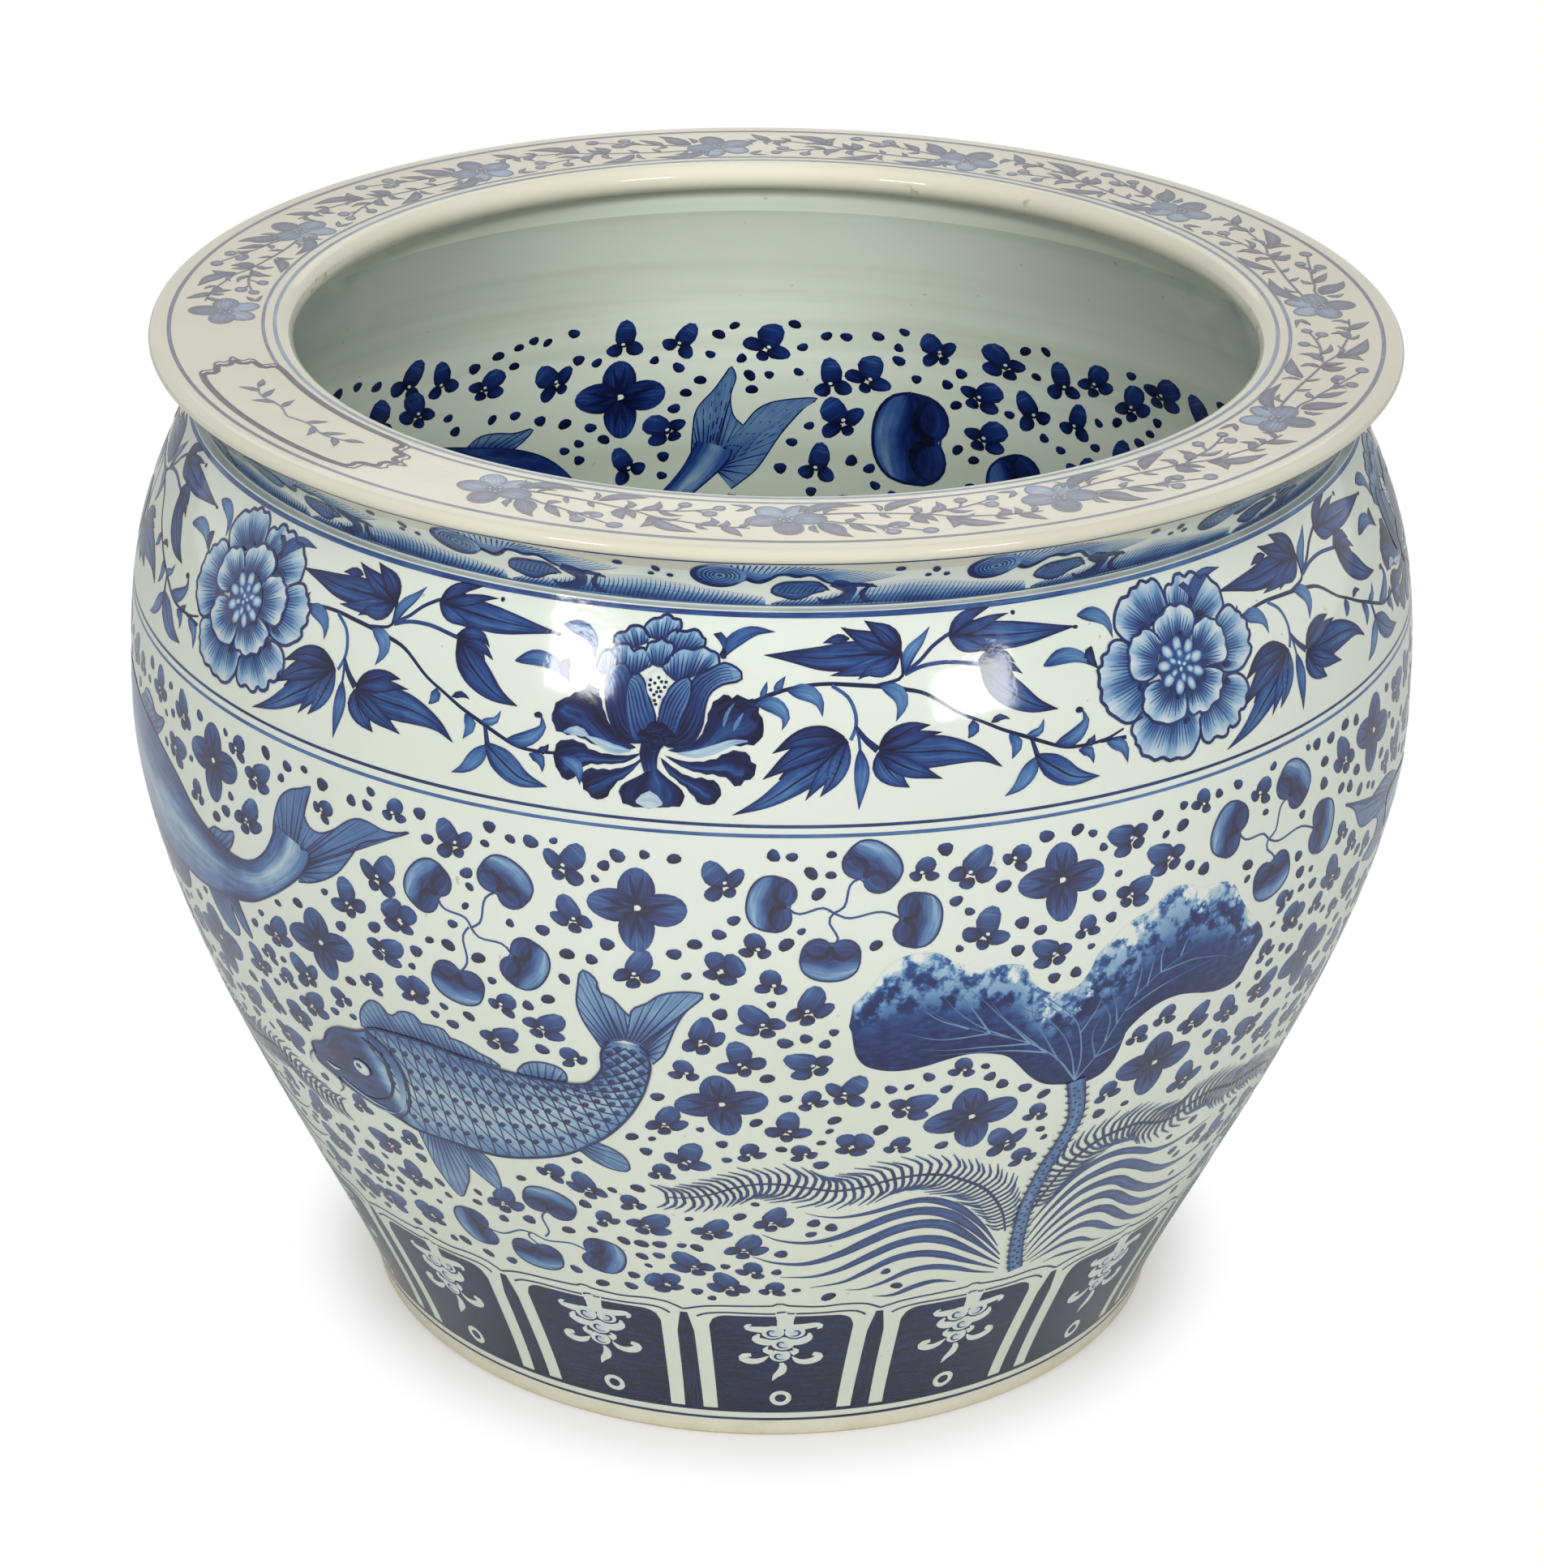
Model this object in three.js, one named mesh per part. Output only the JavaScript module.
// Porcelain jardiniere: a large footed bowl with a swelling shoulder, a waisted collar and a
// broad flat rim. It was thrown in seven sections, which were luted together with slip and fired
// as one pot, so nothing on it moves. Each section stands on the flat top of the one below.
// Millimetres, +Z up. The origin is the centre of the circle that the foot stands on.

import * as THREE from "three";

// Heights of the sections, from the floor up. The belly is the top of the middle wall.
const foot_height = 10;
const lower_wall_height = 130;
const middle_wall_height = 146;
const upper_wall_height = 133;
const collar_height = 19;
const rim_thickness = 13;

// Outside of the pot
const foot_radius = 178.4;
const belly_radius = 280;
const shoulder_radius = 250;
const collar_setback = 3.6;
const rim_overhang = 16.8;
const rim_edge_round = 3.2;
const lip_overhang = 29.7;

// Thickness of the clay
const wall_thickness = 13;
const floor_thickness = 16;
const floor_fillet = 36;
const foot_ring_width = 22;
const foot_bevel = 1.6;
const slip_gap = 0.3;

// Handles of the curves that draw the wall and the hollow under the rim, as shares of the
// rise or reach of each curve
const foot_handle_share = 0.108;
const belly_low_handle_share = 0.342;
const belly_high_handle_share = 0.524;
const shoulder_drop_share = 0.365;
const shoulder_reach_share = 0.75;
const hollow_handle_share = 0.34;

// How steeply the hollow under the rim meets the rim's edge, from level
const hollow_angle = THREE.MathUtils.degToRad(42);

// Fineness of the facets
const around = 72;
const halvings = 40;
const foot_steps = 2;
const wall_steps = 7;
const shoulder_steps = 10;
const fillet_steps = 5;
const hollow_steps = 6;
const edge_steps = 6;

const at = (r, z) => new THREE.Vector2(r, z);

// Levels where the sections meet
const middle_foot = foot_height + lower_wall_height;
const belly_height = middle_foot + middle_wall_height;
const shoulder_height = belly_height + upper_wall_height;
const rim_underside = shoulder_height + collar_height;
const overall_height = rim_underside + rim_thickness;
const belly_swell = belly_radius - shoulder_radius;

const lower_curve = new THREE.CubicBezierCurve(
  at(foot_radius, 0),
  at(foot_radius, foot_handle_share * belly_height),
  at(belly_radius, (1 - belly_low_handle_share) * belly_height),
  at(belly_radius, belly_height),
);
const upper_curve = new THREE.CubicBezierCurve(
  at(belly_radius, belly_height),
  at(belly_radius, belly_height + belly_high_handle_share * upper_wall_height),
  at(
    shoulder_radius + shoulder_reach_share * belly_swell,
    shoulder_height - shoulder_drop_share * upper_wall_height,
  ),
  at(shoulder_radius, shoulder_height),
);

// The parameter at which a rising curve reaches a height, by halving the range
function parameterAt(curve, height) {
  let low = 0;
  let high = 1;
  for (let turn = 0; turn < halvings; turn += 1) {
    const middle = (low + high) / 2;
    if (curve.getPoint(middle).y < height) low = middle;
    else high = middle;
  }
  return (low + high) / 2;
}

const wallCurve = (height) => (height < belly_height ? lower_curve : upper_curve);

function outerRadius(height) {
  const curve = wallCurve(height);
  return curve.getPoint(parameterAt(curve, height)).x;
}

// Inside of the wall, set in level so that the clay is one thickness square to its surface
function innerRadius(height) {
  const curve = wallCurve(height);
  const parameter = parameterAt(curve, height);
  return curve.getPoint(parameter).x - wall_thickness / curve.getTangent(parameter).y;
}

// Points of a wall face from one height to another, both ends included
function faceBetween(radiusOf, from, to, steps) {
  return Array.from({ length: steps + 1 }, (_, i) => {
    const height = THREE.MathUtils.lerp(from, to, i / steps);
    return at(radiusOf(height), height);
  });
}

// Points of a round, from one angle to another about a centre
function arc(centre, radius, from, to, steps) {
  return Array.from({ length: steps + 1 }, (_, i) => {
    const angle = THREE.MathUtils.lerp(from, to, i / steps);
    return at(centre.x + radius * Math.cos(angle), centre.y + radius * Math.sin(angle));
  });
}

// Radii and levels where the sections meet
const floor_top = foot_height + floor_thickness;
const fillet_top = floor_top + floor_fillet;
const foot_inner_radius = foot_radius - foot_ring_width;
const base_radius = foot_radius - foot_ring_width / 2;
const base_socket_radius = base_radius + slip_gap;
const waist_radius = shoulder_radius - collar_setback;
const collar_inner_radius = innerRadius(shoulder_height);
const rim_radius = shoulder_radius + rim_overhang;
const opening_radius = collar_inner_radius - lip_overhang;

// Inside corner between floor and wall, an ellipse that leaves the floor level
function filletRadius(height) {
  const drop_share = (fillet_top - height) / floor_fillet;
  const reach = innerRadius(fillet_top) - base_socket_radius;
  return base_socket_radius + reach * Math.sqrt(Math.max(0, 1 - drop_share * drop_share));
}

// The hollow runs from the waist out to the rim's rounded edge in one sweep
const edge_centre = at(rim_radius - rim_edge_round, overall_height - rim_edge_round);
const edge_start_angle = hollow_angle - Math.PI / 2;
const hollow_end = at(
  edge_centre.x + rim_edge_round * Math.cos(edge_start_angle),
  edge_centre.y + rim_edge_round * Math.sin(edge_start_angle),
);
const hollow_curve = new THREE.QuadraticBezierCurve(
  at(waist_radius, shoulder_height),
  at(waist_radius, THREE.MathUtils.lerp(shoulder_height, hollow_end.y, hollow_handle_share)),
  hollow_end,
);
const hollowRadius = (height) => hollow_curve.getPoint(parameterAt(hollow_curve, height)).x;

// A thrown section: its outline turned once about the pot's axis
function thrown(name, material, outline) {
  const geometry = new THREE.LatheGeometry(outline, around);
  geometry.rotateX(Math.PI / 2);
  const mesh = new THREE.Mesh(geometry, material);
  mesh.name = name;
  return mesh;
}

const closed = (outline) => [...outline, outline[0].clone()];

function footRing(material) {
  return thrown("foot_ring", material, closed([
    at(foot_inner_radius, foot_height),
    at(foot_inner_radius, foot_bevel),
    at(foot_inner_radius + foot_bevel, 0),
    at(foot_radius - foot_bevel, 0),
    ...faceBetween(outerRadius, foot_bevel, foot_height, foot_steps),
  ]));
}

function baseDisc(material) {
  return thrown("base_disc", material, [
    at(0, foot_height),
    at(base_radius, foot_height),
    at(base_radius, floor_top),
    at(0, floor_top),
  ]);
}

function lowerWall(material) {
  return thrown("lower_wall", material, closed([
    at(base_socket_radius, foot_height),
    ...faceBetween(outerRadius, foot_height, middle_foot, wall_steps),
    ...faceBetween(innerRadius, middle_foot, fillet_top, wall_steps),
    ...faceBetween(filletRadius, fillet_top, floor_top, fillet_steps).slice(1),
  ]));
}

function wallSection(name, material, from, to, steps) {
  return thrown(name, material, closed([
    ...faceBetween(outerRadius, from, to, steps),
    ...faceBetween(innerRadius, to, from, steps),
  ]));
}

function collar(material) {
  return thrown("collar", material, closed([
    at(collar_inner_radius, shoulder_height),
    ...faceBetween(hollowRadius, shoulder_height, rim_underside, hollow_steps),
    at(collar_inner_radius, rim_underside),
  ]));
}

// The rim's inner lip is a full round, and its outer edge a small one above the hollow
function rimFlange(material) {
  const lip_round = rim_thickness / 2;
  const lip_centre = at(opening_radius + lip_round, rim_underside + lip_round);
  const hollow_share = 0.5;
  const hollow_middle = THREE.MathUtils.lerp(rim_underside, hollow_end.y, hollow_share);
  return thrown("rim_flange", material, closed([
    at(hollowRadius(rim_underside), rim_underside),
    at(hollowRadius(hollow_middle), hollow_middle),
    ...arc(edge_centre, rim_edge_round, edge_start_angle, Math.PI / 2, edge_steps),
    ...arc(lip_centre, lip_round, Math.PI / 2, 3 * Math.PI / 2, edge_steps),
  ]));
}

const glaze = new THREE.MeshStandardMaterial({ color: 0xdfe5da, roughness: 0.12, metalness: 0 });
const rim_glaze = new THREE.MeshStandardMaterial({ color: 0xdcdccb, roughness: 0.2, metalness: 0 });
const biscuit = new THREE.MeshStandardMaterial({ color: 0xd3cfb0, roughness: 0.45, metalness: 0 });

const jardiniere = new THREE.Group();
jardiniere.name = "jardiniere";
jardiniere.add(
  footRing(biscuit),
  baseDisc(glaze),
  lowerWall(glaze),
  wallSection("middle_wall", glaze, middle_foot, belly_height, wall_steps),
  wallSection("upper_wall", glaze, belly_height, shoulder_height, shoulder_steps),
  collar(glaze),
  rimFlange(rim_glaze),
);

export default jardiniere;
